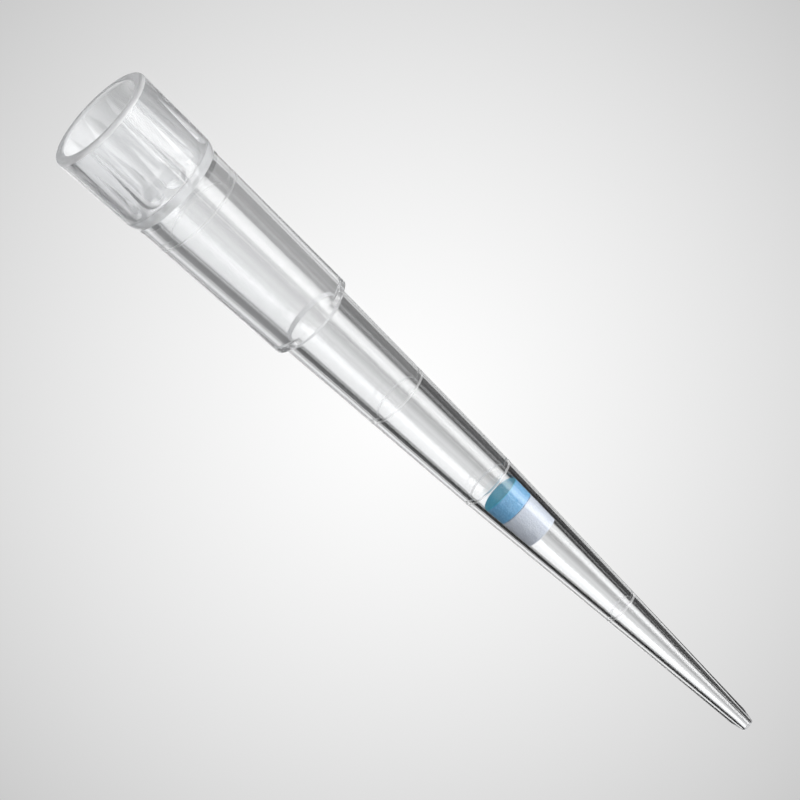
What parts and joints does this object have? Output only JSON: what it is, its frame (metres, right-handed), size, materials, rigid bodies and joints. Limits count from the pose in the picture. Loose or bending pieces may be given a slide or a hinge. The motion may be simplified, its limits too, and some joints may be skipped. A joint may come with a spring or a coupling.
{
  "type": "pipette tip",
  "caption": "Clear disposable filter tip for an air-displacement pipette: fluted collar, sealing socket, slim tapered point and a two-layer filter plug.",
  "frame": {"origin": "centre of the collar rim's plane, where the tip stands mouth down", "axes": "+Z along the axis from the rim to the point; +X through the middle of one flute in the collar's inner wall"},
  "size_m": [0.007, 0.007, 0.053],
  "materials": {
    "tip_body": "clear, colourless, glossy moulded polypropylene",
    "blue_filter_layer": "fine porous sintered polyethylene, light blue, matte",
    "white_filter_layer": "fine porous sintered polyethylene, white, matte"
  },
  "bodies": {
    "root": {"tip_body": "tip_body", "blue_filter_layer": "blue_filter_layer", "white_filter_layer": "white_filter_layer"}
  },
  "joints": []
}
